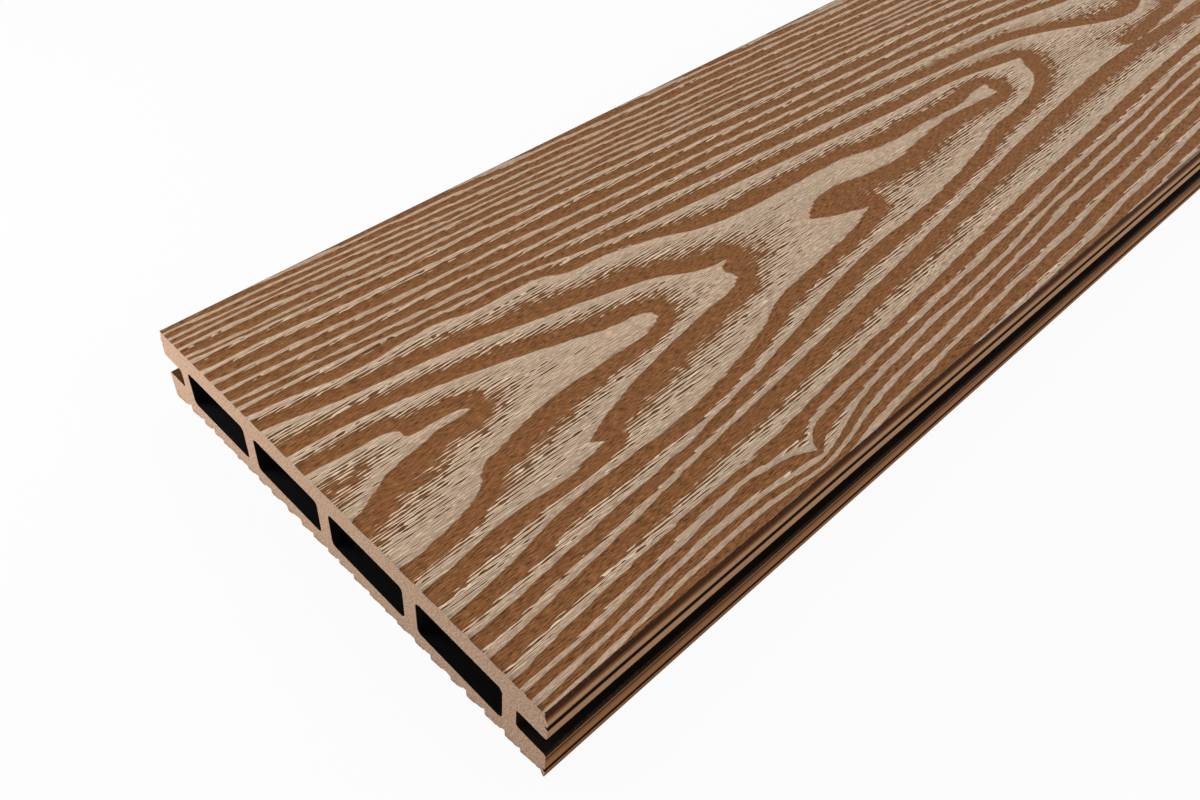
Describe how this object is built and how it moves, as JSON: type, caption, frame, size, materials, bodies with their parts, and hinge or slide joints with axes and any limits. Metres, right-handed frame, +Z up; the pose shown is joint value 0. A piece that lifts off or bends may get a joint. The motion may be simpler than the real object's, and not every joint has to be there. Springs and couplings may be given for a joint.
{
  "type": "hollow decking board",
  "caption": "Flat hollow wood-plastic decking board with an embossed wood-grain walking face, open chambers along its length and a clip groove in each side.",
  "frame": {"origin": "underside of the board, at the middle of its length and width", "axes": "+X along the board's length, +Y across its width towards the side with the rounded lower corner, +Z up out of the walking face"},
  "size_m": [2.2, 0.146, 0.024],
  "materials": {
    "composite": "matt brown wood-plastic composite, embossed grain with brushed pale ridges"
  },
  "bodies": {
    "root": {"decking_board": "composite"}
  },
  "joints": []
}
